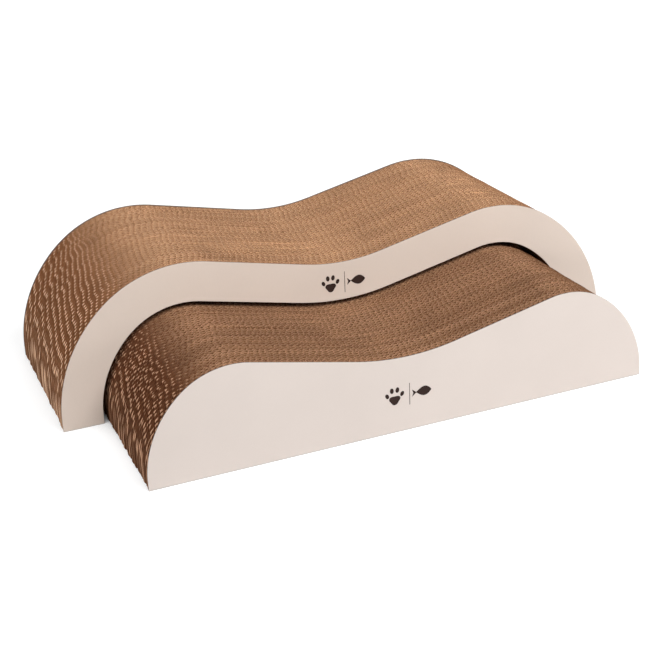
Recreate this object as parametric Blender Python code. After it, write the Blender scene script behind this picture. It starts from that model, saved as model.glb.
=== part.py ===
"""Wave cat scratcher: a cardboard arch with a solid wave block that slides into its tunnel.

Both parts are stacks of die-cut corrugated boards, glued face to face along the depth, with a
printed face panel on the front and on the back. The block stands drawn partly out of the arch.

Metres, +Z up. X runs along the wave, the front faces -Y, and Z = 0 is the floor.
"""

import math

import bpy

# The block's outline, as a path of arcs and straights that are tangent to each other. It starts
# at the left end on the floor and runs over the two crests. Headings are in degrees: 90 is
# straight up, 0 is to the right and -90 is straight down.
PLUMB_UP = 90.0
PLUMB_DOWN = -90.0
FOOT_STRAIGHT = 0.003
LEFT_END_RADIUS = 0.135
LEFT_SHOULDER_HEADING = 42.5
LEFT_CREST_RADIUS = 0.097
FALL_HEADING = -12.25
FALL_LENGTH = 0.132
VALLEY_RADIUS = 0.31
RISE_HEADING = 12.5
RISE_LENGTH = 0.134
RIGHT_CREST_RADIUS = 0.096
RIGHT_SHOULDER_HEADING = -33.5
RIGHT_END_RADIUS = 0.141

# How far a straight chord of an outline may lie inside its arc.
CHORD_ERROR = 0.00022

# The arch follows the block's outline: first the air over the block, then its own wall.
TUNNEL_CLEARANCE = 0.0061
ARCH_WALL = 0.0517

# The stack along the depth, from the front panel to the rear panel.
BOARD_THICKNESS = 0.0062
BOARDS_IN_PAIR = 2
PAIR_COUNT = 20
PANEL_THICKNESS = 0.0015
GLUE_LINE = 0.0003

# The face panels stand a little proud of the boards, over the crests and at the ends.
PANEL_OVERHANG = 0.001

# How far the block's front face stands in front of the arch's.
PULLED_OUT = 0.187

# Colours as seen, in sRGB from 0 to 255.
KRAFT_BROWN = (172, 128, 95)
PRINTED_CREAM = (228, 215, 206)
KRAFT_ROUGHNESS = 0.92
PANEL_ROUGHNESS = 0.62

OBJECT_NAME = "wave_cat_scratcher"


def clear_scene():
    """Remove whatever the scene holds."""
    for obj in list(bpy.data.objects):
        bpy.data.objects.remove(obj, do_unlink=True)


def linear(channel):
    """One sRGB channel from 0 to 255 as the linear value that a shader takes."""
    value = channel / 255.0
    if value <= 0.04045:
        return value / 12.92
    return ((value + 0.055) / 1.055) ** 2.4


def surface(name, colour, roughness):
    """A plain material of one colour."""
    material = bpy.data.materials.new(name)
    material.use_nodes = True
    shader = material.node_tree.nodes["Principled BSDF"]
    shader.inputs["Base Color"].default_value = [linear(c) for c in colour] + [1.0]
    shader.inputs["Roughness"].default_value = roughness
    shader.inputs["Metallic"].default_value = 0.0
    return material


def advance(path, distance):
    """Run the path straight on."""
    x, z, heading = path[-1]
    turn = math.radians(heading)
    path.append((x + distance * math.cos(turn), z + distance * math.sin(turn), heading))


def bend(path, radius, end_heading):
    """Bend the path along a tangent arc until it has the new heading."""
    x, z, start_heading = path[-1]
    side = 1.0 if end_heading > start_heading else -1.0
    start = math.radians(start_heading)
    centre_x = x - side * radius * math.sin(start)
    centre_z = z + side * radius * math.cos(start)
    chord_turn = 2.0 * math.degrees(math.acos(1.0 - CHORD_ERROR / radius))
    steps = math.ceil(abs(end_heading - start_heading) / chord_turn)
    for step in range(1, steps + 1):
        heading = start_heading + (end_heading - start_heading) * step / steps
        turn = math.radians(heading)
        path.append((centre_x + side * radius * math.sin(turn),
                     centre_z - side * radius * math.cos(turn), heading))


def wave_from(height):
    """The path from the left end, plumb at this height, to where the right end is plumb."""
    path = [(0.0, height, PLUMB_UP)]
    bend(path, LEFT_END_RADIUS, LEFT_SHOULDER_HEADING)
    bend(path, LEFT_CREST_RADIUS, FALL_HEADING)
    advance(path, FALL_LENGTH)
    bend(path, VALLEY_RADIUS, RISE_HEADING)
    advance(path, RISE_LENGTH)
    bend(path, RIGHT_CREST_RADIUS, RIGHT_SHOULDER_HEADING)
    bend(path, RIGHT_END_RADIUS, PLUMB_DOWN)
    return path


def wave_path():
    """The whole outline over the block, floor to floor, centred on X = 0.

    The end that is plumb lower down gets the short foot straight, and the other one a longer
    straight, so that both reach the floor.
    """
    drop = wave_from(0.0)[-1][1]
    left_foot = FOOT_STRAIGHT + max(0.0, -drop)
    path = wave_from(left_foot)
    end_x = path[-1][0]
    path.insert(0, (0.0, 0.0, PLUMB_UP))
    path.append((end_x, 0.0, PLUMB_DOWN))
    middle = end_x / 2.0
    return [(x - middle, z, heading) for x, z, heading in path]


def outline(path, distance):
    """The path moved outwards by a distance, as plain points."""
    points = []
    for x, z, heading in path:
        turn = math.radians(heading)
        points.append((x - distance * math.sin(turn), z + distance * math.cos(turn)))
    return points


def block_outline(path, inset):
    """The closed outline of a piece of the block; the last point joins the first on the floor."""
    return outline(path, -inset)


def arch_outline(path, inset):
    """The closed outline of a piece of the arch: over the outside and back along the tunnel."""
    outside = outline(path, TUNNEL_CLEARANCE + ARCH_WALL - inset)
    tunnel = outline(path, TUNNEL_CLEARANCE)
    return outside + tunnel[::-1]


def die_cut(name, points, thickness):
    """A flat die-cut sheet: a filled 2D curve with the sheet's thickness."""
    curve = bpy.data.curves.new(name, "CURVE")
    curve.dimensions = "2D"
    curve.fill_mode = "BOTH"
    curve.extrude = thickness / 2.0
    spline = curve.splines.new("POLY")
    spline.points.add(len(points) - 1)
    for point, (x, z) in zip(spline.points, points):
        point.co = (x, z, 0.0, 1.0)
    spline.use_cyclic_u = True
    return curve


def stand(name, curve, material, y, parent, collection):
    """Stand a die-cut sheet upright across the depth, with its middle at this Y in its part."""
    obj = bpy.data.objects.new(name, curve)
    collection.objects.link(obj)
    if not curve.materials:
        curve.materials.append(material)
    obj.parent = parent
    obj.location = (0.0, y, 0.0)
    obj.rotation_euler = (math.pi / 2.0, 0.0, 0.0)
    return obj


def pair_thickness():
    """The thickness of two boards that are glued to each other."""
    return BOARDS_IN_PAIR * BOARD_THICKNESS


def stack_depth():
    """The depth of a whole stack, over both face panels."""
    glue_lines = (PAIR_COUNT + 1) * GLUE_LINE
    return 2.0 * PANEL_THICKNESS + PAIR_COUNT * pair_thickness() + glue_lines


def build_stack(part, panel_points, board_points, front_y, kraft, cream, collection):
    """One part of the scratcher: a front panel, the pairs of boards and a rear panel."""
    carrier = bpy.data.objects.new(part, None)
    collection.objects.link(carrier)
    carrier.location = (0.0, front_y, 0.0)
    panel = die_cut(part + "_panel", panel_points, PANEL_THICKNESS)
    boards = die_cut(part + "_boards", board_points, pair_thickness())
    half_panel = PANEL_THICKNESS / 2.0
    stand(part + "_front_panel", panel, cream, half_panel, carrier, collection)
    first = PANEL_THICKNESS + GLUE_LINE + pair_thickness() / 2.0
    pitch = pair_thickness() + GLUE_LINE
    for number in range(PAIR_COUNT):
        name = f"{part}_board_pair_{number + 1:02d}"
        stand(name, boards, kraft, first + number * pitch, carrier, collection)
    rear_y = stack_depth() - half_panel
    stand(part + "_rear_panel", panel, cream, rear_y, carrier, collection)


def main():
    clear_scene()
    collection = bpy.data.collections.new(OBJECT_NAME)
    bpy.context.scene.collection.children.link(collection)
    kraft = surface("kraft_board", KRAFT_BROWN, KRAFT_ROUGHNESS)
    cream = surface("printed_cream", PRINTED_CREAM, PANEL_ROUGHNESS)
    path = wave_path()
    block_front_y = -(PULLED_OUT + stack_depth()) / 2.0
    build_stack("arch", arch_outline(path, 0.0), arch_outline(path, PANEL_OVERHANG),
                block_front_y + PULLED_OUT, kraft, cream, collection)
    build_stack("core", block_outline(path, 0.0), block_outline(path, PANEL_OVERHANG),
                block_front_y, kraft, cream, collection)


main()
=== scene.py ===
"""Wave cat scratcher in cut corrugated board: an arch, the block that slides under it, and a pale studio.

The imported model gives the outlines, the places and the bodies. Here every pair of boards gets its
fluted papers, every face panel its printed card, and both get their materials. Metres, +Z up.
"""

import math

import bpy
import numpy as np
from bpy.props import FloatProperty, FloatVectorProperty, PointerProperty
from mathutils import Euler, Matrix, Vector


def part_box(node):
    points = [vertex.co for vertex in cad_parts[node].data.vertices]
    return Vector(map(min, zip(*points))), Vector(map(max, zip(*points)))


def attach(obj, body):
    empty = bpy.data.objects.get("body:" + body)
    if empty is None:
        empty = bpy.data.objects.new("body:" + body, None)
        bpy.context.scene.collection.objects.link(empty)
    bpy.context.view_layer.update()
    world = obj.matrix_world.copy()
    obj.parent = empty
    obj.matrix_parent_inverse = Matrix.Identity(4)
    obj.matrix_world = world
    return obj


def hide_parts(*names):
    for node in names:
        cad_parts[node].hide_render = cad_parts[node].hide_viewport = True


bl_info = {
    "name": "Wave cat scratcher",
    "version": (1, 0, 0),
    "blender": (4, 5, 0),
    "location": "3D View > Sidebar > Scratcher",
    "description": "Fluted boards, printed cards and studio of a two-part wave scratcher",
    "category": "Object",
}

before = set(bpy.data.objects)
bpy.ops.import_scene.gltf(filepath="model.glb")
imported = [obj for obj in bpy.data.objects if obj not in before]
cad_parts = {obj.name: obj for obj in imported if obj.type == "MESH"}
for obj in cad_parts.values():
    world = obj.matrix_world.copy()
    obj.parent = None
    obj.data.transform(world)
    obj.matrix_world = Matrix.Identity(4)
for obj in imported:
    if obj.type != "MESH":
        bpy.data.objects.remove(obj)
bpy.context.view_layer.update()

PARTS = ("arch", "core")
PAIR_COUNT = 20
BOARDS_IN_PAIR = 2
LAYERS_IN_BOARD = 2
LAYERS_IN_PAIR = BOARDS_IN_PAIR * LAYERS_IN_BOARD

# The outline's points are close together where it bends, and a straight has only its ends.
BEND_STEP = 0.006
STRAIGHT_RATIO = 2.5
STRAIGHT_ANGLE = math.radians(0.3)
CORNER_ANGLE = math.radians(25.0)
# Places closer together than this are one. Past this slope each bend of an edge gets a column.
SAME_PLACE = 0.00006
STEEP = 3.0
PLACE_DIGITS = 6
LEAST_STEP = 1e-8

# Surfaces that bend by less than these angles are shaded smooth.
FLUTE_ANGLE = math.radians(50.0)
CARD_ANGLE = math.radians(20.0)

# The camera of the photograph, fitted to the outlines. Yaw turns it to the right of +Y.
CAMERA_PLACE = (-0.5969, -1.4744, 0.7444)
CAMERA_YAW = math.radians(21.7236)
CAMERA_PITCH = math.radians(-23.8444)
CAMERA_ROLL = math.radians(-2.5385)
CAMERA_LENS = 69.65
CAMERA_SENSOR = 36.0

# Where each lamp stands and how large it is. They all look at the target.
LAMP_TARGET = (0.0, 0.0, 0.08)
LAMPS = {
    "Key": ((0.2, -1.2, 5.0), (1.6, 1.6)),
    "Fill": ((1.7, -3.1, 3.9), (4.0, 2.0)),
    "Side": ((-4.6, -0.8, 1.4), (1.6, 1.2)),
    "Right": ((2.4, -1.0, 0.9), (1.2, 1.0)),
    "Back": ((0.8, 4.6, 1.3), (2.0, 1.0)),
}

# The floor's white grows between two distances from the middle. As painted shade, it fades where the share
# of open sky within reach falls from the second value to the first.
FLOOR_SIZE = 14.0
FLOOR_GLOW = (0.71, 1.0)
GLOW_REACH = (0.5, 1.6)
OPEN_REACH = 0.3
OPEN_SHARE = (0.05, 0.45)
SKY_SAMPLES = 8


def metres(title, description, default, **limits):
    """A property that holds a length in metres."""
    return FloatProperty(name=title, description=description, default=default, unit="LENGTH",
                         precision=5, **limits)


def tint(title, description, default):
    """A property that holds a colour."""
    return FloatVectorProperty(name=title, description=description, default=default,
                               subtype="COLOR", size=3, min=0.0, max=1.0)


def watts(title, description, default):
    """A property that holds a lamp's power in watts."""
    return FloatProperty(name=title, description=description, default=default, unit="POWER", min=0.0)


class BoardSettings(bpy.types.PropertyGroup):
    """Sizes and colours of the corrugated boards."""

    wide_pitch: metres(
        "Wide flute pitch", "Distance from flute to flute in the front layer of a board",
        0.0077, min=0.002)
    narrow_pitch: metres(
        "Narrow flute pitch", "Distance from flute to flute in the rear layer of a board",
        0.0064, min=0.002)
    wide_share: FloatProperty(
        name="Wide layer share", description="Share of a board's thickness that the wide flutes take",
        default=0.62, min=0.4, max=0.7, subtype="FACTOR")
    paper: metres(
        "Paper thickness", "Thickness of every liner and fluting at its cut edge", 0.00034, min=0.0001)
    column: metres("Flute step", "Distance between the bends that draw a flute", 0.0009, min=0.0004)
    drift: metres(
        "Flute drift", "Shift of the flutes from one board to the next, where they drift", 0.0016)
    arch_wander: metres(
        "Arch flute wander", "How far a flute of the arch may stray from its neighbours", 0.0021)
    core_wander: metres(
        "Core flute wander", "How far a flute of the block may stray from its neighbours", 0.0072)
    end_scatter: metres(
        "End scatter", "How far a board may stand off the stack along the wave", 0.0009)
    roughness: metres(
        "Cut roughness", "How far the cut edge of a paper may fall short of the outline", 0.00035)
    crush: metres("Crushed depth", "How far the papers are pressed over in the worn spots", 0.0009)
    arch_cut: tint("Arch level cuts", "Torn fibres where the arch's cut lies level", (0.76, 0.425, 0.22))
    # Pale paper is painted light on flute walls that turn to the open side of the cut; dark paper is
    # painted shade on the liners and inner walls.
    arch_light: tint("Arch pale paper", "Flute walls of the arch that turn outward", (0.86, 0.545, 0.35))
    arch_shade: tint("Arch dark paper", "Liners and inner walls of the arch", (0.185, 0.068, 0.024))
    core_cut: tint("Core level cuts", "Torn fibres where the block's cut lies level", (0.475, 0.252, 0.132))
    # The block's pale and dark paper are painted light and painted shade in the same way.
    core_light: tint("Core pale paper", "Flute walls of the block that turn outward", (0.61, 0.338, 0.205))
    core_shade: tint("Core dark paper", "Liners and inner walls of the block", (0.094, 0.028, 0.0065))


class CardSettings(bpy.types.PropertyGroup):
    """Sizes and colours of the printed face cards and the marks on them."""

    inset: metres(
        "Face inset", "How far a card's printed face lies inside the packed panel's", 0.00012)
    edge: metres("Edge round", "Radius of a card's pressed edges", 0.00025)
    # The arch's cream is darker and warmer than the block's: painted shade and warm bounce light from the
    # block that stands in front.
    arch_cream: tint("Arch cream print", "Matt ink that covers the arch's cards", (0.65, 0.55, 0.478))
    core_cream: tint("Core cream print", "Matt ink that covers the block's cards", (0.685, 0.605, 0.557))
    # The rim colour is darker than bare board: partly the cut board's own colour, partly a painted shadow
    # line where a card meets the boards.
    rim: tint("Card rim", "Bare board at a card's cut rim and on its unprinted side", (0.13, 0.1, 0.085))
    ink: tint("Mark ink", "Dark brown ink of the small marks", (0.028, 0.014, 0.011))
    arch_mark_height: metres(
        "Arch mark height", "Height of the marks' middle above the floor on the arch", 0.1275)
    arch_mark_x: metres(
        "Arch mark place", "Where the thin rule stands along the wave on the arch", -0.0036)
    core_mark_height: metres(
        "Core mark height", "Height of the marks' middle above the floor on the block", 0.048)
    core_mark_x: metres(
        "Core mark place", "Where the thin rule stands along the wave on the block", -0.002)
    mark_width: metres("Mark width", "Width of the paw and of the fish", 0.026)
    rule_height: metres("Rule height", "Height of the thin rule between the two marks", 0.029)


class StageSettings(bpy.types.PropertyGroup):
    """The studio's light and floor."""

    key_power: watts("Key light", "Power of the lamp overhead", 52.0)
    fill_power: watts("Fill light", "Power of the wide lamp high in front, on the right", 275.0)
    side_power: watts("Side light", "Power of the lamp on the left that grazes the board ends", 170.0)
    right_power: watts("Right light", "Power of the lamp on the right that lights the right ends", 30.0)
    back_power: watts("Back light", "Power of the low lamp behind the scratcher", 70.0)
    ambient: FloatProperty(
        name="Room light", description="Strength of the light that comes from all round",
        default=0.12, min=0.0)
    floor: tint("Floor", "Colour of the seamless floor under its white glow", (0.36, 0.36, 0.36))


def free_socket(sockets, name):
    """The socket of that name that the node uses with its present settings."""
    for socket in sockets:
        if socket.name == name and socket.enabled:
            return socket
    raise KeyError(name)


NODE_STEP = 180.0


class Nodes:
    """Adds nodes to one tree and joins them. A value is a number, or another node's output."""

    def __init__(self, tree):
        self.tree = tree

    def feed(self, socket, value):
        """Join an output to a socket, or set the socket's own value."""
        if isinstance(value, bpy.types.NodeSocket):
            self.tree.links.new(value, socket)
        else:
            socket.default_value = value

    def add(self, kind, **values):
        """A new node. Names in small letters are its settings and come first, the others its inputs."""
        node = self.tree.nodes.new(kind)
        node.location = (NODE_STEP * len(self.tree.nodes), 0.0)
        for name, value in values.items():
            if name.islower():
                setattr(node, name, value)
            else:
                self.feed(free_socket(node.inputs, name.replace("_", " ")), value)
        return node

    def math(self, operation, *values):
        """The result of a sum on one, two or three values."""
        node = self.add("ShaderNodeMath", operation=operation)
        for socket, value in zip(node.inputs, values):
            self.feed(socket, value)
        return node.outputs["Value"]

    def plus(self, *values):
        """The values added up."""
        total = values[0]
        for value in values[1:]:
            total = self.math("ADD", total, value)
        return total

    def times(self, *values):
        """The values multiplied."""
        product = values[0]
        for value in values[1:]:
            product = self.math("MULTIPLY", product, value)
        return product

    def ramp(self, value, low, high, first=0.0, last=1.0):
        """The value taken from low to high onto first to last, and held at both ends."""
        node = self.add("ShaderNodeMapRange", Value=value, From_Min=low, From_Max=high,
                        To_Min=first, To_Max=last)
        return free_socket(node.outputs, "Result")

    def vector(self, x, y, z=0.0):
        """Three values as one vector."""
        return self.add("ShaderNodeCombineXYZ", X=x, Y=y, Z=z).outputs["Vector"]

    def parts(self, vector):
        """The three values of a vector."""
        return self.add("ShaderNodeSeparateXYZ", Vector=vector).outputs

    def chance(self, low, high, number, seed):
        """A random value between low and high, fixed for each number."""
        node = self.add("FunctionNodeRandomValue", data_type="FLOAT", Min=low, Max=high, ID=number,
                        Seed=seed)
        return free_socket(node.outputs, "Value")

    def noise(self, vector, scale, detail=2.0):
        """Smooth noise between 0 and 1 at a vector."""
        node = self.add("ShaderNodeTexNoise", noise_dimensions="3D", Vector=vector, Scale=scale,
                        Detail=detail)
        return node.outputs[0]

    def blend(self, share, first, second):
        """A colour between two."""
        node = self.add("ShaderNodeMix", data_type="RGBA", Factor=share, A=first, B=second)
        return free_socket(node.outputs, "Result")

    def reads(self, name):
        """The value of a mesh attribute, in a material."""
        return self.add("ShaderNodeAttribute", attribute_name=name).outputs["Fac"]

    def place(self):
        """The place of a point of the surface on its piece, in a material."""
        return self.add("ShaderNodeTexCoord").outputs["Object"]


def colour(value):
    """A colour property as a socket takes it."""
    return (value[0], value[1], value[2], 1.0)


def front_outline(node):
    """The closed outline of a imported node's front face, as (x, z) points, anticlockwise from the front.

    An edge that two faces share runs once each way, and drops out.
    """
    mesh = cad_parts[node].data
    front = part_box(node)[0].y
    following = {}
    for face in mesh.polygons:
        corners = [mesh.vertices[i].co for i in face.vertices]
        if max(abs(corner.y - front) for corner in corners) > SAME_PLACE:
            continue
        ring = [(round(corner.x, PLACE_DIGITS), round(corner.z, PLACE_DIGITS)) for corner in corners]
        for start, end in zip(ring, ring[1:] + ring[:1]):
            if start in following.get(end, ()):
                following[end].remove(start)
            else:
                following.setdefault(start, []).append(end)
    start = min((point for point, ends in following.items() if ends), key=lambda p: (p[1], p[0]))
    outline = [start]
    while True:
        after = following[outline[-1]][0]
        if after == start:
            return [Vector(point) for point in outline]
        outline.append(after)


def tangents(points, i):
    """The directions in which a smooth line comes to a point and leaves it."""
    before = points[i] - points[i - 1]
    after = points[i + 1] - points[i]
    if before.angle(after) > CORNER_ANGLE:
        return before.normalized(), after.normalized()
    if before.length > STRAIGHT_RATIO * after.length:
        both = before.normalized()
    elif after.length > STRAIGHT_RATIO * before.length:
        both = after.normalized()
    else:
        both = (after.length * before.normalized() + before.length * after.normalized()).normalized()
    return both, both


def smooth_line(points):
    """The rounded line through the points of an outline, with its corners and straights kept."""
    count = len(points)
    ways = [(None, (points[1] - points[0]).normalized())]
    ways += [tangents(points, i) for i in range(1, count - 1)]
    ways.append(((points[-1] - points[-2]).normalized(), None))
    line = [points[0]]
    for i in range(count - 1):
        start, end = points[i], points[i + 1]
        chord = end - start
        leaves, comes = ways[i][1], ways[i + 1][0]
        straight = max(leaves.angle(chord), comes.angle(chord)) < STRAIGHT_ANGLE
        steps = 1 if straight else math.ceil(chord.length / BEND_STEP)
        for step in range(1, steps + 1):
            t = step / steps
            line.append((2 * t**3 - 3 * t**2 + 1) * start + (t**3 - 2 * t**2 + t) * chord.length * leaves
                        + (3 * t**2 - 2 * t**3) * end + (t**3 - t**2) * chord.length * comes)
    return line


class Outline:
    """The upper and lower edge of a die-cut sheet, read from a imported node."""

    def __init__(self, node):
        points = front_outline(node)
        low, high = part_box(node)
        right = max(range(len(points)), key=lambda i: (points[i].x, -points[i].y))
        self.lower = self.rising(points[:right + 1], low, high)
        self.upper = self.rising((points[right:] + points[:1])[::-1], low, high)

    @staticmethod
    def rising(points, low, high):
        """The smooth line as x and z, inside the node's box and with x always growing."""
        line = np.array(smooth_line(points))
        x = np.clip(line[:, 0], low.x, high.x)
        x = np.maximum.accumulate(x) + np.arange(len(x)) * LEAST_STEP
        return x, np.clip(line[:, 1], low.z, high.z)

    def tops(self, x):
        """Height of the upper edge; at a plumb end it is where the plumb stretch ends."""
        return np.interp(x, self.upper[0][1:-1], self.upper[1][1:-1])

    def bottoms(self, x):
        """Height of the lower edge."""
        return np.interp(x, *self.lower)

    @staticmethod
    def direction(edge, x):
        """How far an edge runs level, and how far it rises, on one step along it, at each x."""
        run, rise = np.diff(edge[0]), np.diff(edge[1])
        middles, length = edge[0][:-1] + run / 2.0, np.hypot(run, rise)
        return np.interp(x, middles, run / length), np.interp(x, middles, rise / length)

    def columns(self, step):
        """Where a sheet needs a column: at each bend, or every step and at the steep bends."""
        ends = self.upper[0][[0, -1]]
        if step is None:
            return thinned(np.concatenate([self.upper[0], self.lower[0]]), ends)
        steep = [ends]
        for x, z in (self.upper, self.lower):
            slopes = np.abs(np.diff(z)) > STEEP * np.diff(x)
            steep += [x[:-1][slopes], x[1:][slopes]]
        even = np.linspace(*ends, math.ceil((ends[1] - ends[0]) / step) + 1)
        return thinned(np.concatenate(steep + [even]), ends)


def thinned(columns, ends):
    """The columns in order, without those that nearly touch the one before."""
    columns = np.unique(np.clip(columns, *ends))
    kept = [columns[0]]
    for x in columns[1:]:
        if x - kept[-1] > SAME_PLACE:
            kept.append(x)
    return np.array(kept)


def upright_sheet(name, outline, thickness, step=None):
    """A closed upright sheet around Y = 0, with four points to a column.

    Its point attributes are top, which is 1 along the upper edge, inside and lift, how far a point
    lies from the upper and from the lower edge, level, which is 1 where the upper edge lies flat,
    outward, how far the cut there faces +X, and fluting, which is 1 where the sheet gets flutes.
    Its face attribute cut is 1 on cut edges.
    """
    x = outline.columns(step)
    tops, bottoms = outline.tops(x), outline.bottoms(x)
    half = np.full(len(x), thickness / 2.0)
    ring = [(-half, bottoms), (half, bottoms), (half, tops), (-half, tops)]
    places = np.stack([np.stack([x, y, z], axis=1) for y, z in ring], axis=1).reshape(-1, 3)
    faces, cut = [], []
    for column in range(len(x) - 1):
        here, there = 4 * column, 4 * column + 4
        for corner in range(4):
            after = (corner + 1) % 4
            faces.append((here + corner, here + after, there + after, there + corner))
            cut.append(1.0 - corner % 2)
    last = 4 * (len(x) - 1)
    faces += [(0, 3, 2, 1), (last, last + 1, last + 2, last + 3)]
    cut += [1.0, 1.0]
    mesh = bpy.data.meshes.new(name)
    mesh.from_pydata(places.tolist(), [], faces)
    mesh.attributes.new("cut", "FLOAT", "FACE").data.foreach_set("value", cut)
    upper_row = np.array([0.0, 0.0, 1.0, 1.0])
    level, rise = outline.direction(outline.upper, x)
    inside = (tops - bottoms) * level
    lift = (tops - bottoms) * outline.direction(outline.lower, x)[0]
    note_on_points(mesh, "top", np.tile(upper_row, len(x)))
    note_on_points(mesh, "inside", np.outer(inside, 1.0 - upper_row).ravel())
    note_on_points(mesh, "lift", np.outer(lift, upper_row).ravel())
    note_on_points(mesh, "level", np.repeat(level, 4))
    note_on_points(mesh, "outward", np.repeat(-rise, 4))
    note_on_points(mesh, "fluting", np.full(4 * len(x), float(step is not None)))
    return mesh


def note_on_points(mesh, name, values):
    """Keep one value for each point of a mesh."""
    mesh.attributes.new(name, "FLOAT", "POINT").data.foreach_set("value", values)


# The board tree's inputs by kind.
BOARD_INPUTS = {
    "Geometry": ("Geometry",),
    "Object": ("Liner Blank",),
    "Material": ("Material",),
    "Int": ("First Board", "Stack Layers", "Seed"),
    "Float": (
        "Pair Front", "Board Pitch", "Paper", "Middle Liner Place", "Wide Pitch", "Wide Place",
        "Wide Height", "Narrow Pitch", "Narrow Place", "Narrow Height", "Narrow Contrast",
        "Contrast Spread", "Drift", "Wander", "End Scatter", "Cut Roughness", "Crushed Depth"),
}
# Counts that differ by less than this are the same.
NEARLY = 0.1

# The flutes drift for part of a cycle of layers, creep back for the rest, and jump where it ends.
LAYERS_IN_CYCLE = (21, 15)
DRIFTING_SHARE = (0.5, 0.85)
DRIFT_BACK = 0.15
CYCLE_JUMP = 1.6
# Two such drifts take turns along the wave, and the flutes of each layer wander as well.
BLEND_SCALE = 11.0
BLEND_LIMITS = (0.4, 0.6)
WANDER_SCALE = 22.0
# How strongly the painted light and shade show on the walls of the two kinds of flute, and how far the
# layers differ in that.
WIDE_CONTRAST = 0.95
NARROW_CONTRAST = {"arch": 0.45, "core": 0.8}
CONTRAST_SPREAD = {"arch": 0.22, "core": 0.42}
# What keeps the random draws of one seed apart.
DRIFT_SEED = 10.0
JUMP_SEED = 50.0
CONTRAST_SEED = 30.0
PATCH_SEED = 4.3

# Wear comes in streaks along the boards, inside patches and on the shoulders that face right.
STREAK_STRETCH = (0.6, 7.0)
STREAK_SCALE = 17.0
STREAK_LIMITS = (0.52, 0.68)
MOST_WORN = 0.75
PATCH_SCALE = 7.0
PATCH_LIMITS = (0.45, 0.65)
SHOULDER_LIMITS = (-0.05, 0.25)
FRAY_SCALE = 700.0
BUCKLE_SCALE = 260.0
FRAY_LIMITS = (0.3, 0.7)


def add_sockets(tree, way, kind, names):
    """New inputs or outputs of one kind on a tree."""
    for name in names:
        tree.interface.new_socket(name=name, in_out=way, socket_type="NodeSocket" + kind)


def captured(nodes, geometry, name, value):
    """The geometry with a value noted on its points, and that value for later use."""
    node = nodes.add("GeometryNodeCaptureAttribute", Geometry=geometry)
    node.capture_items.new("FLOAT", name)
    nodes.feed(node.inputs[name], value)
    return node.outputs["Geometry"], node.outputs[name]


def layer_points(nodes, count):
    """One point for each layer, all at the origin."""
    return nodes.add("GeometryNodeMeshLine", Count=count, Offset=(0.0, 0.0, 0.0)).outputs[0]


def noted(nodes, geometry, name, value):
    """The geometry with a named value on its points, for the material."""
    return nodes.add("GeometryNodeStoreNamedAttribute", data_type="FLOAT", domain="POINT",
                     Geometry=geometry, Name=name, Value=value).outputs[0]


def read_back(nodes, name):
    """A named value on the points."""
    node = nodes.add("GeometryNodeInputNamedAttribute", data_type="FLOAT", Name=name)
    return free_socket(node.outputs, "Attribute")


def copies(nodes, points, blank):
    """One copy of the blank for each point, as plain mesh."""
    placed = nodes.add("GeometryNodeInstanceOnPoints", Points=points, Instance=blank)
    return nodes.add("GeometryNodeRealizeInstances", Geometry=placed.outputs[0]).outputs[0]


def moved(nodes, geometry, place):
    """The geometry with its points at new places."""
    return nodes.add("GeometryNodeSetPosition", Geometry=geometry, Position=place).outputs[0]


def drift_through_stack(nodes, given, index, way):
    """How far each layer's flutes have shifted, in runs that drift and runs that creep back."""
    layers, seed = LAYERS_IN_CYCLE[way], nodes.plus(given["Seed"], DRIFT_SEED * way)
    turn = nodes.math("DIVIDE", index, layers)
    cycle = nodes.math("FLOOR", turn)
    share = nodes.chance(*DRIFTING_SHARE, cycle, seed)
    passed = nodes.math("SUBTRACT", turn, cycle)
    back = nodes.math("GREATER_THAN", passed, share)
    fresh = nodes.math("LESS_THAN", passed, 0.5 / layers)
    jump = nodes.times(fresh, nodes.chance(-CYCLE_JUMP, CYCLE_JUMP, cycle, nodes.plus(seed, JUMP_SEED)))
    size = nodes.plus(nodes.times(back, 1.0 + DRIFT_BACK), jump, -1.0)
    slip = nodes.times(given["Drift"], nodes.math("DIVIDE", size, LAYERS_IN_BOARD))
    return nodes.add("GeometryNodeAccumulateField", data_type="FLOAT", Value=slip).outputs["Leading"]


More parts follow.
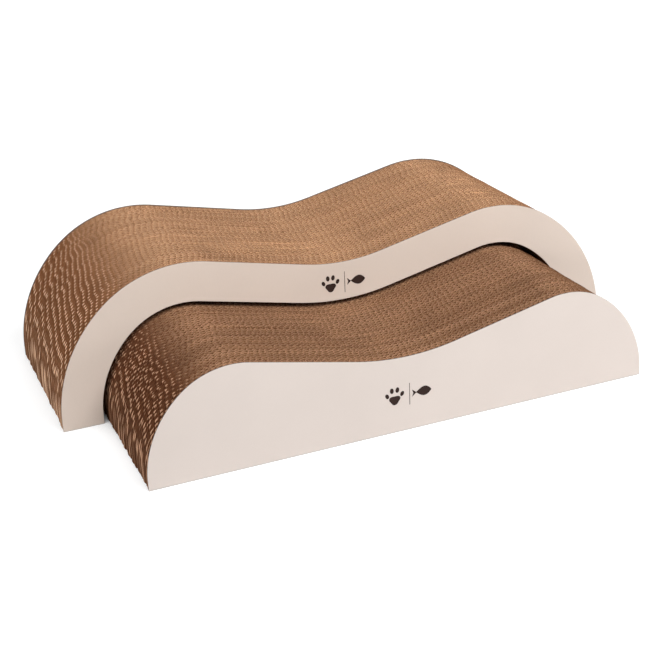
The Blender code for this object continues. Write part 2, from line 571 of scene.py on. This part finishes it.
def fluted_papers(nodes, given):
    """The four fluted papers of a pair of boards, two to a board."""
    index = nodes.add("GeometryNodeInputIndex").outputs[0]
    stack, drifts = layer_points(nodes, given["Stack Layers"]), []
    for way in range(len(LAYERS_IN_CYCLE)):
        moving = drift_through_stack(nodes, given, index, way)
        stack, drift = captured(nodes, stack, f"Drift {way}", moving)
        drifts.append(drift)
    first_layer = nodes.times(given["First Board"], LAYERS_IN_BOARD)
    number = nodes.math("SUBTRACT", index, first_layer)
    stack, layer = captured(nodes, stack, "Layer", number)
    middle = (LAYERS_IN_PAIR - 1) / 2.0
    inside = nodes.math("COMPARE", layer, middle, middle + NEARLY)
    pair = nodes.add("GeometryNodeSeparateGeometry", Geometry=stack, Selection=inside).outputs[0]
    papers = copies(nodes, pair, given["Geometry"])

    board = nodes.math("FLOOR", nodes.math("DIVIDE", layer, LAYERS_IN_BOARD))
    narrow = nodes.math("FLOORED_MODULO", layer, LAYERS_IN_BOARD)
    in_stack = nodes.plus(layer, first_layer)
    papers = noted(nodes, papers, "fluting", flute_contrast(nodes, given, narrow, in_stack))

    def either(name):
        difference = nodes.math("SUBTRACT", given["Narrow " + name], given["Wide " + name])
        return nodes.plus(given["Wide " + name], nodes.times(narrow, difference))

    x, side, z = nodes.parts(nodes.add("GeometryNodeInputPosition").outputs[0])
    unshifted = before_shift(nodes, given, x, in_stack, drifts)
    phase = nodes.times(nodes.math("DIVIDE", unshifted, either("Pitch")), math.tau)
    swing = nodes.times(either("Height"), 0.5)
    rise = nodes.times(nodes.math("COSINE", phase), swing, nodes.math("DIVIDE", math.tau, either("Pitch")))
    lean = nodes.math("INVERSE_SQRT", nodes.plus(nodes.times(rise, rise), 1.0))
    scatter = board_scatter(nodes, given, board)
    new_x = nodes.plus(x, scatter, nodes.times(side, rise, lean, -1.0))
    layer_y = nodes.plus(given["Pair Front"], nodes.times(board, given["Board Pitch"]), either("Place"))
    new_y = nodes.plus(layer_y, nodes.times(nodes.math("SINE", phase), swing), nodes.times(side, lean))
    return moved(nodes, papers, nodes.vector(new_x, new_y, z))


def flute_contrast(nodes, given, narrow, in_stack):
    """How strongly the painted light and shade show on the walls of each layer's flutes."""
    contrast = nodes.ramp(narrow, 0.0, 1.0, WIDE_CONTRAST, given["Narrow Contrast"])
    spread, seed = given["Contrast Spread"], nodes.plus(given["Seed"], CONTRAST_SEED)
    return nodes.plus(contrast, nodes.chance(nodes.times(spread, -1.0), spread, in_stack, seed))


def before_shift(nodes, given, x, in_stack, drifts):
    """Where along the wave a flute would lie without its drift, one or the other, and its wander."""
    mixed = nodes.ramp(nodes.noise(nodes.vector(x, given["Seed"]), BLEND_SCALE, 1.0), *BLEND_LIMITS)
    shift = nodes.plus(drifts[0], nodes.times(mixed, nodes.math("SUBTRACT", drifts[1], drifts[0])))
    stray = nodes.noise(nodes.vector(x, in_stack, given["Seed"]), WANDER_SCALE)
    wander = nodes.times(given["Wander"], nodes.math("SUBTRACT", stray, 0.5), 2.0)
    return nodes.plus(x, shift, wander)


def board_scatter(nodes, given, board):
    """How far a board of this pair stands off the stack along the wave."""
    number = nodes.plus(board, given["First Board"])
    least = nodes.times(given["End Scatter"], -1.0)
    return nodes.chance(least, given["End Scatter"], number, given["Seed"])


def liner_papers(nodes, given):
    """The five liners of a pair of boards. The middle one is two papers glued together."""
    index = nodes.add("GeometryNodeInputIndex").outputs[0]
    line = layer_points(nodes, LAYERS_IN_PAIR + 1)
    line, liner = captured(nodes, line, "Liner", index)
    blank = nodes.add("GeometryNodeObjectInfo", Object=given["Liner Blank"]).outputs["Geometry"]
    papers = copies(nodes, line, blank)
    x, side, z = nodes.parts(nodes.add("GeometryNodeInputPosition").outputs[0])
    board = nodes.math("FLOOR", nodes.math("DIVIDE", liner, LAYERS_IN_BOARD))
    middle = nodes.math("FLOORED_MODULO", liner, LAYERS_IN_BOARD)
    within = nodes.times(middle, given["Middle Liner Place"])
    half = nodes.times(given["Paper"], 0.5)
    place = nodes.math("MAXIMUM", nodes.plus(nodes.times(board, given["Board Pitch"]), within), half)
    deepest = nodes.math("SUBTRACT", nodes.times(given["Board Pitch"], BOARDS_IN_PAIR), half)
    place = nodes.math("MINIMUM", place, deepest)
    glued = nodes.plus(nodes.math("COMPARE", liner, LAYERS_IN_BOARD, NEARLY), 1.0)
    new_y = nodes.plus(given["Pair Front"], place, nodes.times(side, glued))
    new_x = nodes.plus(x, board_scatter(nodes, given, board))
    return moved(nodes, papers, nodes.vector(new_x, new_y, z))


def cut_and_worn(nodes, given, papers):
    """The papers with their upper edges cut roughly, pressed over in places, and marked where worn."""
    x, y, z = nodes.parts(nodes.add("GeometryNodeInputPosition").outputs[0])
    along, across = STREAK_STRETCH
    stretched = nodes.vector(nodes.times(x, along), nodes.times(y, across), given["Seed"])
    streaks = nodes.noise(stretched, STREAK_SCALE, 3.0)
    patches = nodes.noise(nodes.vector(x, y, nodes.plus(given["Seed"], PATCH_SEED)), PATCH_SCALE, 1.0)
    shoulder = nodes.ramp(read_back(nodes, "outward"), *SHOULDER_LIMITS)
    spots = nodes.math("MAXIMUM", nodes.ramp(patches, *PATCH_LIMITS), shoulder)
    worn = nodes.times(nodes.ramp(streaks, *STREAK_LIMITS, 0.0, MOST_WORN), spots)
    papers = noted(nodes, papers, "worn", worn)
    frayed = nodes.noise(nodes.vector(x, y, given["Seed"]), FRAY_SCALE, 1.0)
    short = nodes.ramp(frayed, *FRAY_LIMITS)
    buckled = nodes.noise(nodes.vector(y, x, given["Seed"]), BUCKLE_SCALE, 1.0)
    over = nodes.ramp(buckled, *FRAY_LIMITS, -1.0, 1.0)
    top = read_back(nodes, "top")
    crushed = nodes.times(top, given["Crushed Depth"], read_back(nodes, "worn"))
    drop = nodes.plus(nodes.times(top, given["Cut Roughness"], short), nodes.times(crushed, short))
    rear = nodes.plus(given["Pair Front"], nodes.times(given["Board Pitch"], BOARDS_IN_PAIR))
    new_y = nodes.math("MAXIMUM", nodes.plus(y, nodes.times(crushed, over)), given["Pair Front"])
    place = nodes.vector(x, nodes.math("MINIMUM", new_y, rear), nodes.math("SUBTRACT", z, drop))
    return moved(nodes, papers, place)


def board_pair_tree():
    """The tree that turns a fluting blank and a liner blank into one pair of glued boards."""
    tree = bpy.data.node_groups.new("Corrugated Board Pair", "GeometryNodeTree")
    for kind, names in BOARD_INPUTS.items():
        add_sockets(tree, "INPUT", kind, names)
    add_sockets(tree, "OUTPUT", "Geometry", ("Geometry",))
    nodes = Nodes(tree)
    given = nodes.add("NodeGroupInput").outputs
    papers = nodes.add("GeometryNodeJoinGeometry")
    for part in (liner_papers(nodes, given), fluted_papers(nodes, given)):
        tree.links.new(part, papers.inputs[0])
    finished = cut_and_worn(nodes, given, papers.outputs[0])
    finished = nodes.add("GeometryNodeRealizeInstances", Geometry=finished).outputs[0]
    clad = nodes.add("GeometryNodeSetMaterial", Geometry=finished, Material=given["Material"])
    result = nodes.add("NodeGroupOutput")
    tree.links.new(clad.outputs[0], result.inputs["Geometry"])
    return tree


def board_pitch(part):
    """The distance from board to board in a packed stack, half a glue line included."""
    first, second = (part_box(f"{part}_board_pair_{number:02d}")[0].y for number in (1, 2))
    return (second - first) / BOARDS_IN_PAIR


def board_sizes(part, settings):
    """The tree's inputs that are the same for every pair of a part."""
    pitch, paper = board_pitch(part), settings.paper
    middle = pitch * settings.wide_share
    wide_low, wide_high = paper, middle - paper / 2.0
    narrow_low, narrow_high = middle + paper / 2.0, pitch - paper
    return {
        "Stack Layers": PAIR_COUNT * BOARDS_IN_PAIR * LAYERS_IN_BOARD,
        "Board Pitch": pitch,
        "Paper": paper,
        "Middle Liner Place": middle,
        "Wide Pitch": settings.wide_pitch,
        "Wide Place": (wide_low + wide_high) / 2.0,
        "Wide Height": wide_high - wide_low - paper,
        "Narrow Pitch": settings.narrow_pitch,
        "Narrow Place": (narrow_low + narrow_high) / 2.0,
        "Narrow Height": narrow_high - narrow_low - paper,
        "Narrow Contrast": NARROW_CONTRAST[part],
        "Contrast Spread": CONTRAST_SPREAD[part],
        "Drift": settings.drift,
        "Wander": getattr(settings, part + "_wander"),
        "End Scatter": settings.end_scatter,
        "Cut Roughness": settings.roughness,
        "Crushed Depth": settings.crush,
        "Seed": PARTS.index(part) + 1,
    }


def put_in_scene(name, data):
    """A new object with that mesh, lamp or camera, at the origin."""
    obj = bpy.data.objects.new(name, data)
    bpy.context.scene.collection.objects.link(obj)
    return obj


def settle(obj, smooth_below):
    """Turn an object's modifiers into plain mesh, smooth where it bends by less than the angle."""
    bpy.context.view_layer.update()
    seen = obj.evaluated_get(bpy.context.evaluated_depsgraph_get())
    mesh = bpy.data.meshes.new_from_object(seen)
    obj.modifiers.clear()
    obj.data = mesh
    mesh.name = obj.name
    mesh.shade_smooth()
    mesh.set_sharp_from_angle(angle=smooth_below)


def set_inputs(modifier, values):
    """Set a Geometry Nodes modifier's inputs by their names in the tree."""
    for item in modifier.node_group.interface.items_tree:
        if item.in_out == "INPUT" and item.name in values:
            modifier[item.identifier] = values[item.name]


def make_boards(part, settings, material):
    """Every pair of boards of one part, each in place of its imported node."""
    outline = Outline(f"{part}_board_pair_01")
    fluting = upright_sheet("fluting_blank", outline, settings.paper, settings.column)
    liner = put_in_scene("liner_blank", upright_sheet("liner_blank", outline, settings.paper))
    tree = bpy.data.node_groups.get("Corrugated Board Pair") or board_pair_tree()
    sizes = board_sizes(part, settings)
    for number in range(1, PAIR_COUNT + 1):
        node = f"{part}_board_pair_{number:02d}"
        low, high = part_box(node)
        pair = put_in_scene(f"{part}_boards_{number:02d}", fluting)
        modifier = pair.modifiers.new("Boards", "NODES")
        modifier.node_group = tree
        front = (low.y + high.y) / 2.0 - sizes["Board Pitch"]
        own = {"Pair Front": front, "First Board": BOARDS_IN_PAIR * (number - 1)}
        set_inputs(modifier, {**sizes, **own, "Liner Blank": liner, "Material": material})
        settle(pair, FLUTE_ANGLE)
        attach(pair, part)
        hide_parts(node)
    bpy.data.objects.remove(liner)


FIBRE_STRETCH = (1.0, 1.0, 0.2)
# Between these heights of the grain the roughness changes.
GRAIN_LIMITS = (0.2, 0.8)


def paper_grain_group():
    """Mottling and fibres that every paper here shares, as a shade around 1 and a height."""
    found = bpy.data.node_groups.get("Paper Grain")
    if found:
        return found
    tree = bpy.data.node_groups.new("Paper Grain", "ShaderNodeTree")
    add_sockets(tree, "INPUT", "Float", ("Fibre Amount", "Mottle Amount", "Fibre Scale", "Mottle Scale"))
    add_sockets(tree, "OUTPUT", "Float", ("Shade", "Height"))
    nodes = Nodes(tree)
    given = nodes.add("NodeGroupInput").outputs
    place = nodes.place()
    stretched = nodes.add("ShaderNodeMapping", Vector=place, Scale=FIBRE_STRETCH).outputs[0]
    fibres = nodes.noise(stretched, given["Fibre Scale"], 3.0)
    mottle = nodes.noise(place, given["Mottle Scale"], 4.0)
    darker = nodes.times(nodes.math("SUBTRACT", fibres, 0.5), given["Fibre Amount"], 2.0)
    cloudy = nodes.times(nodes.math("SUBTRACT", mottle, 0.5), given["Mottle Amount"], 2.0)
    result = nodes.add("NodeGroupOutput")
    tree.links.new(nodes.plus(darker, cloudy, 1.0), result.inputs["Shade"])
    tree.links.new(fibres, result.inputs["Height"])
    return tree


def new_material(name):
    """An empty material, its nodes and its shader."""
    material = bpy.data.materials.new(name)
    material.use_nodes = True
    nodes = Nodes(material.node_tree)
    return material, nodes, material.node_tree.nodes["Principled BSDF"]


def shaded(nodes, tone, shade):
    """A colour made lighter or darker by a value around 1."""
    grey = nodes.vector(shade, shade, shade)
    node = nodes.add("ShaderNodeMix", data_type="RGBA", blend_type="MULTIPLY", Factor=1.0, A=tone, B=grey)
    return free_socket(node.outputs, "Result")


def paper_grain(nodes, **values):
    """The shade and the height of the shared grain, with a material's own values."""
    return nodes.add("ShaderNodeGroup", node_tree=paper_grain_group(), **values).outputs


def set_finish(nodes, shader, tone, height, roughness, specular, bump=None):
    """Give a shader its colour, specular level, and a roughness and bump that follow the grain's height."""
    nodes.feed(shader.inputs["Base Color"], tone)
    nodes.feed(shader.inputs["Roughness"], nodes.ramp(height, *GRAIN_LIMITS, *roughness))
    shader.inputs["Specular IOR Level"].default_value = specular
    if bump:
        raised = nodes.add("ShaderNodeBump", Height=height, Strength=bump[0], Distance=bump[1])
        nodes.feed(shader.inputs["Normal"], raised.outputs[0])


# Each fade below says from which value to which it runs, and what it gives at these two.
# By how level the cut lies, with steep cuts painted darker as shade:
LEVEL_CUT = (0.7, 1.0, 0.0, 1.0)
STEEP_PALENESS = (0.1, 0.45, 0.2, 0.0)
# The painted shade deeper under the cut comes on sooner where the cut lies level.
DEPTH_SCALE = (0.8, 1.0, 1.0, 2.2)
# By how far a flute wall turns to the side that the cut faces, and by how strongly it shows; walls that
# turn out get painted light and walls that turn in painted shade:
OUTER_WALL = (0.2, 0.46, 0.05, 1.0)
INNER_WALL = (-0.4, 0.0, 0.45, 1.0)
WALL_CONTRAST = (0.3, 0.8, 0.0, 1.0)
LAYER_SHADE = (0.0, 1.0, 0.74, 1.18)
WALL_ON_LEVEL = 0.45
# By the depth under the cut, in metres:
NEAR_CUT = (0.0, 0.001, 0.15, 0.0)
WORN_DEPTH = (0.0, 0.003, 1.0, 0.0)
# Painted shade: the papers darken deeper under the cut, in the flutes' hollows.
DEEP_SHADE = (0.0, 0.004, 1.0, 0.4)
# From board to board, by noise that is stretched along the boards:
BOARD_STRETCH = (7.0, 330.0, 7.0)
BOARD_SHADE = (0.3, 0.7, 0.91, 1.09)
# By the height above the floor, in metres, for the painted contact shadow at a card's foot:
CARD_FOOT_SHADOW = (0.0002, 0.0011, 0.45, 1.0)


def kraft(name, cut, light, shade):
    """Raw kraft board in painted light and shade: dark inside the flutes, on the liners, on inner walls and
    on steep cuts, paler on walls that turn outward, and pale torn fibres where the cut lies level.
    """
    material, nodes, shader = new_material(name)
    light, shade = colour(light), colour(shade)
    level, fluting = nodes.reads("level"), nodes.reads("fluting")
    flat = nodes.ramp(level, *LEVEL_CUT)
    normal = nodes.parts(nodes.add("ShaderNodeNewGeometry").outputs["Normal"])
    # Painted light: a flute wall gets paler the more it faces the open side of the cut, and on level cuts
    # the flutes get part of it too.
    facing = nodes.times(normal["X"], nodes.reads("outward"), nodes.ramp(fluting, *WALL_CONTRAST))
    turned = nodes.ramp(facing, *OUTER_WALL)
    turned = nodes.math("MAXIMUM", turned, nodes.times(flat, fluting, WALL_ON_LEVEL))
    walls = nodes.blend(turned, shade, light)
    # Painted shade: cut edges on steep flanks take the dark colour in place of the torn fibres' colour,
    # with a little painted light where they are steepest.
    steep = nodes.blend(nodes.ramp(level, *STEEP_PALENESS), shade, light)
    fibres = shaded(nodes, colour(cut), nodes.ramp(fluting, *LAYER_SHADE))
    edges = nodes.blend(nodes.times(flat, flat), steep, fibres)

    depth = nodes.math("MINIMUM", nodes.reads("inside"), nodes.reads("lift"))
    near_cut = nodes.times(nodes.ramp(depth, *NEAR_CUT), level, level)
    worn = nodes.times(nodes.reads("worn"), nodes.ramp(depth, *WORN_DEPTH))
    torn = nodes.math("MAXIMUM", nodes.math("MAXIMUM", near_cut, nodes.reads("cut")), worn)

    grain = paper_grain(nodes, Fibre_Amount=0.16, Mottle_Amount=0.2, Fibre_Scale=1100.0, Mottle_Scale=22.0)
    along = nodes.add("ShaderNodeMapping", Vector=nodes.place(), Scale=BOARD_STRETCH).outputs[0]
    boards = nodes.ramp(nodes.noise(along, 1.0), *BOARD_SHADE)
    # Painted shade deeper under the cut.
    painted_depth_shade = nodes.ramp(nodes.times(depth, nodes.ramp(level, *DEPTH_SCALE)), *DEEP_SHADE)
    # Walls that turn inward are darkened as painted shade, together with the grain and the board tone.
    shadow = nodes.times(grain["Shade"], boards, painted_depth_shade, nodes.ramp(facing, *INNER_WALL))
    tone = shaded(nodes, nodes.blend(torn, walls, edges), shadow)
    set_finish(nodes, shader, tone, grain["Height"], roughness=(0.86, 0.98), specular=0.25,
               bump=(0.25, 0.0002))
    return material


def printed_card(name, cream, rim):
    """Matt cream print on a face card; dark board where it is cut or unprinted, partly a painted shadow
    line at the rim; and a painted contact shadow along its foot.
    """
    material, nodes, shader = new_material(name)
    grain = paper_grain(nodes, Fibre_Amount=0.03, Mottle_Amount=0.05, Fibre_Scale=1500.0, Mottle_Scale=9.0)
    # The rim's dark colour is partly the cut board's own and partly a painted shadow line.
    print_or_shaded_rim = nodes.blend(nodes.reads("cut"), colour(cream), colour(rim))
    # Painted contact shadow: the card darkens within about a millimetre of the floor.
    shade = nodes.times(grain["Shade"], nodes.ramp(nodes.parts(nodes.place())["Z"], *CARD_FOOT_SHADOW))
    tone = shaded(nodes, print_or_shaded_rim, shade)
    set_finish(nodes, shader, tone, grain["Height"], roughness=(0.5, 0.62), specular=0.35,
               bump=(0.12, 0.0001))
    return material


def printing_ink(name, ink):
    """Dark brown ink, slightly uneven where the press laid it down."""
    material, nodes, shader = new_material(name)
    grain = paper_grain(nodes, Fibre_Amount=0.3, Mottle_Amount=0.2, Fibre_Scale=1500.0, Mottle_Scale=90.0)
    tone = shaded(nodes, colour(ink), grain["Shade"])
    set_finish(nodes, shader, tone, grain["Height"], roughness=(0.55, 0.7), specular=0.15)
    return material


def make_card(part, face, settings, material):
    """One printed face card in place of its packed panel, with its unprinted side towards the boards."""
    node = f"{part}_{face}_panel"
    low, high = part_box(node)
    inset = settings.inset
    sheet = upright_sheet("card", Outline(node), high.y - low.y - inset)
    card = put_in_scene(f"{part}_{face}_card", sheet)
    inward = 1.0 if face == "front" else -1.0
    for side, cut in zip(sheet.polygons, sheet.attributes["cut"].data):
        if side.normal.y * inward > 0.5:
            cut.value = 1.0
    card.data.transform(Matrix.Translation((0.0, (low.y + high.y + inward * inset) / 2.0, 0.0)))
    card.data.materials.append(material)
    rounding = card.modifiers.new("Pressed edges", "BEVEL")
    rounding.width = settings.edge
    rounding.segments = 2
    rounding.limit_method = "ANGLE"
    rounding.angle_limit = CARD_ANGLE
    settle(card, CARD_ANGLE)
    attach(card, part)
    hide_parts(node)


# The marks' sizes are shares of their width. For each toe: how far out and up it lies, its width, its
# height and its turn.
TOES = ((0.14, 0.33, 0.19, 0.28, 0.12), (0.38, 0.1, 0.18, 0.26, 0.45))
OVAL_POINTS = 28
PAD_POINTS = 40
PAD_REACH = 0.235
PAD_LOBES = 0.035
PAD_STRETCH = (1.15, 0.95)
PAD_DROP = 0.16
BODY_STEPS = 24
BODY_LENGTH = 0.8
BODY_BULGE = 0.24
BLUNTNESS = 0.85
TAIL_ROOT = (0.29, 0.012)
TAIL_TIP = (0.5, 0.19)
TAIL_NOTCH = 0.43


def oval(centre, width, height, turn):
    """A turned oval as a closed outline."""
    ring = []
    for step in range(OVAL_POINTS):
        angle = math.tau * step / OVAL_POINTS
        x, z = width / 2.0 * math.cos(angle), height / 2.0 * math.sin(angle)
        ring.append((centre[0] + x * math.cos(turn) - z * math.sin(turn),
                     centre[1] + x * math.sin(turn) + z * math.cos(turn)))
    return ring


def paw_outlines(x, z, width):
    """A plain paw print: a rounded three-lobed pad under four toes."""
    pad = []
    for step in range(PAD_POINTS):
        angle = math.tau * step / PAD_POINTS
        reach = width * (PAD_REACH + PAD_LOBES * math.cos(3.0 * angle - math.pi / 2.0))
        pad.append((x + PAD_STRETCH[0] * reach * math.cos(angle),
                    z - PAD_DROP * width + PAD_STRETCH[1] * reach * math.sin(angle)))
    outlines = [pad]
    for side in (-1.0, 1.0):
        for out, up, across, high, turn in TOES:
            centre = (x + side * out * width, z + up * width)
            outlines.append(oval(centre, across * width, high * width, -side * turn))
    return outlines


def fish_outline(x, z, width):
    """A plain fish: a lens-shaped body that runs out into a forked tail."""
    body = []
    for step in range(BODY_STEPS + 1):
        share = step / BODY_STEPS
        body.append((0.5 - BODY_LENGTH * share, BODY_BULGE * math.sin(math.pi * share**BLUNTNESS)))
    under = [(px, -pz) for px, pz in body[1:-1]][::-1]
    (root_x, root_z), (tip_x, tip_z) = TAIL_ROOT, TAIL_TIP
    tail = [(-root_x, root_z), (-tip_x, tip_z), (-TAIL_NOTCH, 0.0), (-tip_x, -tip_z), (-root_x, -root_z)]
    return [(x + width * px, z + width * pz) for px, pz in body[:-1] + tail + under]


def slab(outlines, front, back):
    """Closed flat pieces from front to back in Y, one for each outline given anticlockwise."""
    places, faces = [], []
    for ring in outlines:
        first, count = len(places), len(ring)
        places += [(px, front, pz) for px, pz in ring] + [(px, back, pz) for px, pz in ring]
        faces.append(list(range(first, first + count)))
        faces.append(list(range(first + 2 * count - 1, first + count - 1, -1)))
        for i in range(count):
            j = (i + 1) % count
            faces.append((first + i, first + count + i, first + count + j, first + j))
    mesh = bpy.data.meshes.new("mark")
    mesh.from_pydata(places, [], faces)
    return mesh


# How far the paw and the fish lie from the rule, and how the ink lies on the card.
PAW_REACH = 0.0195
FISH_REACH = 0.0165
RULE_WIDTH = 0.0007
INK_THICKNESS = 0.00008
INK_GAP = 0.00002


def make_mark(part, settings, material):
    """The small print on a front card: a paw, a thin rule and a fish."""
    x, height = getattr(settings, part + "_mark_x"), getattr(settings, part + "_mark_height")
    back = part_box(f"{part}_front_panel")[0].y + settings.inset - INK_GAP
    bottom, top = height - settings.rule_height / 2.0, height + settings.rule_height / 2.0
    outlines = paw_outlines(x - PAW_REACH, height, settings.mark_width)
    outlines.append([(x, bottom), (x + RULE_WIDTH, bottom), (x + RULE_WIDTH, top), (x, top)])
    outlines.append(fish_outline(x + FISH_REACH, height, settings.mark_width))
    mark = put_in_scene(f"{part}_front_mark", slab(outlines, back - INK_THICKNESS, back))
    mark.data.materials.append(material)
    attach(mark, part)


def soft_lamp(name, place, size, power):
    """A large rectangular lamp that looks at the middle of the scratcher."""
    data = bpy.data.lights.new(name, "AREA")
    data.shape = "RECTANGLE"
    data.size, data.size_y = size
    data.energy = power
    lamp = put_in_scene(name, data)
    lamp.location = place
    lamp.rotation_euler = (Vector(LAMP_TARGET) - Vector(place)).to_track_quat("-Z", "Y").to_euler()


def seen_directly(nodes):
    """1 for what the camera, a reflection or a view through glass sees, and 0 for light on a surface."""
    path = nodes.add("ShaderNodeLightPath").outputs
    seen = path["Is Camera Ray"]
    for name in ("Is Glossy Ray", "Is Transmission Ray"):
        seen = nodes.math("MAXIMUM", seen, path[name])
    return seen


def make_world(ambient):
    """A white room whose light on the object is the ambient strength."""
    world = bpy.data.worlds.new("White room")
    bpy.context.scene.world = world
    world.use_nodes = True
    nodes = Nodes(world.node_tree)
    background = world.node_tree.nodes["Background"]
    background.inputs["Color"].default_value = (1.0, 1.0, 1.0, 1.0)
    strength = nodes.plus(nodes.times(seen_directly(nodes), 1.0 - ambient), ambient)
    nodes.feed(background.inputs["Strength"], strength)


def make_floor(tone):
    """A seamless floor, white to the camera except for the shadow on it and the painted shade where little
    sky is open.
    """
    half = FLOOR_SIZE / 2.0
    mesh = bpy.data.meshes.new("studio_floor")
    corners = [(-half, -half, 0.0), (half, -half, 0.0), (half, half, 0.0), (-half, half, 0.0)]
    mesh.from_pydata(corners, [], [(0, 1, 2, 3)])
    floor = put_in_scene("studio_floor", mesh)
    material, nodes, shader = new_material("seamless floor")
    shader.inputs["Base Color"].default_value = colour(tone)
    shader.inputs["Roughness"].default_value = 1.0
    shader.inputs["Specular IOR Level"].default_value = 0.0
    shader.inputs["Emission Color"].default_value = (1.0, 1.0, 1.0, 1.0)
    away = nodes.add("ShaderNodeVectorMath", operation="LENGTH", Vector=nodes.place()).outputs["Value"]
    # Painted shade: the floor's white glow dims where little sky is open, as under the arch.
    sky = nodes.add("ShaderNodeAmbientOcclusion", samples=SKY_SAMPLES, Distance=OPEN_REACH).outputs["AO"]
    glow = nodes.times(nodes.ramp(away, *GLOW_REACH, *FLOOR_GLOW), nodes.ramp(sky, *OPEN_SHARE))
    nodes.feed(shader.inputs["Emission Strength"], nodes.times(seen_directly(nodes), glow))
    mesh.materials.append(material)


def make_camera():
    """The camera at the photograph's place, angle and lens."""
    data = bpy.data.cameras.new("Camera")
    data.sensor_width = CAMERA_SENSOR
    data.lens = CAMERA_LENS
    camera = put_in_scene("Camera", data)
    upright = Euler((math.pi / 2.0 + CAMERA_PITCH, 0.0, -CAMERA_YAW), "XYZ").to_matrix()
    camera.matrix_world = Matrix.Translation(CAMERA_PLACE) @ (
        upright @ Matrix.Rotation(CAMERA_ROLL, 3, "Z")).to_4x4()
    bpy.context.scene.camera = camera


def build_boards(context, part):
    """One part's boards, in kraft board of the part's own shades."""
    settings = context.scene.scratcher_boards
    shades = [getattr(settings, f"{part}_{name}") for name in ("cut", "light", "shade")]
    make_boards(part, settings, kraft(f"{part} kraft", *shades))


class SCRATCHER_OT_arch_boards(bpy.types.Operator):
    """Build the arch's stack of corrugated boards"""

    bl_idname = "scratcher.arch_boards"
    bl_label = "Arch boards"

    def execute(self, context):
        build_boards(context, "arch")
        return {"FINISHED"}


class SCRATCHER_OT_core_boards(bpy.types.Operator):
    """Build the block's stack of corrugated boards"""

    bl_idname = "scratcher.core_boards"
    bl_label = "Core boards"

    def execute(self, context):
        build_boards(context, "core")
        return {"FINISHED"}


class SCRATCHER_OT_face_cards(bpy.types.Operator):
    """Build the printed cards on the front and back of both parts"""

    bl_idname = "scratcher.face_cards"
    bl_label = "Face cards"

    def execute(self, context):
        settings = context.scene.scratcher_cards
        for part in PARTS:
            cream = getattr(settings, part + "_cream")
            material = printed_card(f"{part} cream print", cream, settings.rim)
            for face in ("front", "rear"):
                make_card(part, face, settings, material)
        return {"FINISHED"}


class SCRATCHER_OT_front_marks(bpy.types.Operator):
    """Print the small paw and fish on both front cards"""

    bl_idname = "scratcher.front_marks"
    bl_label = "Front marks"

    def execute(self, context):
        settings = context.scene.scratcher_cards
        ink = printing_ink("brown ink", settings.ink)
        for part in PARTS:
            make_mark(part, settings, ink)
        return {"FINISHED"}


class SCRATCHER_OT_stage(bpy.types.Operator):
    """Set up the floor, the lamps, the room and the camera"""

    bl_idname = "scratcher.stage"
    bl_label = "Stage"

    def execute(self, context):
        settings = context.scene.scratcher_stage
        context.scene.view_settings.view_transform = "Standard"
        make_world(settings.ambient)
        make_floor(settings.floor)
        for name, (place, size) in LAMPS.items():
            soft_lamp(name, place, size, getattr(settings, name.lower() + "_power"))
        make_camera()
        return {"FINISHED"}


class SCRATCHER_PT_sidebar(bpy.types.Panel):
    """Lists the scratcher's sizes, colours and steps in the 3D view's sidebar."""

    bl_idname = "SCRATCHER_PT_sidebar"
    bl_label = "Wave cat scratcher"
    bl_space_type = "VIEW_3D"
    bl_region_type = "UI"
    bl_category = "Scratcher"

    def draw(self, context):
        for title, name, _, operators in GROUPS:
            box = self.layout.box()
            box.label(text=title)
            settings = getattr(context.scene, name)
            for key in settings.bl_rna.properties.keys():
                if key not in ("rna_type", "name"):
                    box.prop(settings, key)
            for operator in operators:
                box.operator(operator.bl_idname)


GROUPS = (
    ("Boards", "scratcher_boards", BoardSettings, (SCRATCHER_OT_arch_boards, SCRATCHER_OT_core_boards)),
    ("Cards", "scratcher_cards", CardSettings, (SCRATCHER_OT_face_cards, SCRATCHER_OT_front_marks)),
    ("Stage", "scratcher_stage", StageSettings, (SCRATCHER_OT_stage,)),
)


def register():
    """Register the settings, the operators and the sidebar panel."""
    for _, name, settings, operators in GROUPS:
        for kind in (settings, *operators):
            bpy.utils.register_class(kind)
        setattr(bpy.types.Scene, name, PointerProperty(type=settings))
    bpy.utils.register_class(SCRATCHER_PT_sidebar)


def unregister():
    """Take away what register added."""
    bpy.utils.unregister_class(SCRATCHER_PT_sidebar)
    for _, name, settings, operators in GROUPS:
        delattr(bpy.types.Scene, name)
        for kind in (settings, *operators):
            bpy.utils.unregister_class(kind)


def main():
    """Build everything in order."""
    register()
    bpy.ops.scratcher.stage()
    bpy.ops.scratcher.arch_boards()
    bpy.ops.scratcher.core_boards()
    bpy.ops.scratcher.face_cards()
    bpy.ops.scratcher.front_marks()


if __name__ == "__main__":
    main()
